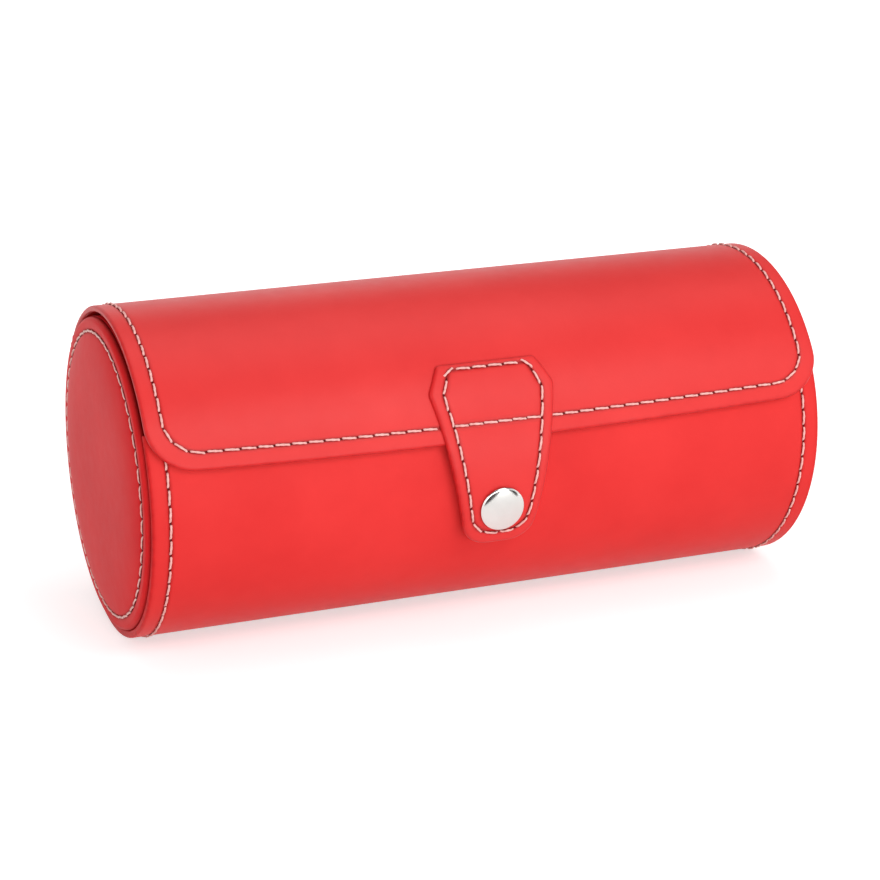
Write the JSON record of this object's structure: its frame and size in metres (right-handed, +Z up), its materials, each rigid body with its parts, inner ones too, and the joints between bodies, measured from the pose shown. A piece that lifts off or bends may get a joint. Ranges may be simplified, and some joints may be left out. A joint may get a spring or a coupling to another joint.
{
  "type": "watch storage case",
  "caption": "Round leather watch roll with a hinged lid, a snap tab, padded ends and removable pillows in divided compartments.",
  "frame": {"origin": "middle of the flat strip under the case that it rests on, below the roll's axis", "axes": "+X along the roll to the right seen from the front, -Y to the front where the snap is, +Z up"},
  "size_m": [0.2072, 0.099, 0.0941],
  "materials": {
    "leather": "fine-grained, soft sheen",
    "velvet": "short velvet pile",
    "foam": "open-cell foam",
    "board": "grey board",
    "thread": "twisted thread",
    "nickel": "polished nickel"
  },
  "bodies": {
    "base": {"base_leather": "leather", "base_board": "board", "base_foam": "foam", "base_lining": "velvet", "hinge_leather": "leather", "hinge_lining": "velvet", "snap_stud": "nickel", "snap_post": "nickel", "base_left_stitches": "thread", "base_right_stitches": "thread", "left_end_board": "board", "left_end_padding": "foam", "left_end_lining": "velvet", "left_end_cover": "leather", "left_end_stitches": "thread", "left_divider_board": "board", "left_divider_cover": "velvet", "right_end_board": "board", "right_end_padding": "foam", "right_end_lining": "velvet", "right_end_cover": "leather", "right_end_stitches": "thread", "right_divider_board": "board", "right_divider_cover": "velvet"},
    "lid": {"lid_leather": "leather", "lid_board": "board", "lid_facing": "leather", "lid_foam": "foam", "lid_lining": "velvet", "lid_stitches": "thread", "tab_root": "leather", "tab_root_stitches": "thread"},
    "tab": {"tab_bend": "leather", "tab_tongue": "leather", "tab_backing": "leather", "tab_stitches": "thread", "snap_cap": "nickel", "snap_socket": "nickel", "snap_spring": "nickel"},
    "left_pillow": {"left_pillow_core": "foam", "left_pillow_sleeve": "velvet", "left_pillow_caps": "velvet"},
    "middle_pillow": {"middle_pillow_core": "foam", "middle_pillow_sleeve": "velvet", "middle_pillow_caps": "velvet"},
    "right_pillow": {"right_pillow_core": "foam", "right_pillow_sleeve": "velvet", "right_pillow_caps": "velvet"}
  },
  "joints": [
    {"name": "lid_hinge", "type": "hinge", "parent": "base", "child": "lid", "pos_m": [0, 0.03535, 0.07578], "axis": [-1, 0, 0], "range_deg": [0, 130], "deforming": ["hinge_leather", "hinge_lining"]},
    {"name": "tab_hinge", "type": "hinge", "parent": "lid", "child": "tab", "pos_m": [0, -0.04805, 0.05859], "axis": [-1, 0, 0], "range_deg": [0, 90], "deforming": ["tab_bend", "snap_spring"]},
    {"name": "left_pillow_seat", "type": "slide", "parent": "base", "child": "left_pillow", "axis": [0, 0, -1], "range_m": [-0.028, 0]},
    {"name": "middle_pillow_seat", "type": "slide", "parent": "base", "child": "middle_pillow", "axis": [0, 0, -1], "range_m": [-0.028, 0]},
    {"name": "right_pillow_seat", "type": "slide", "parent": "base", "child": "right_pillow", "axis": [0, 0, -1], "range_m": [-0.028, 0]}
  ]
}
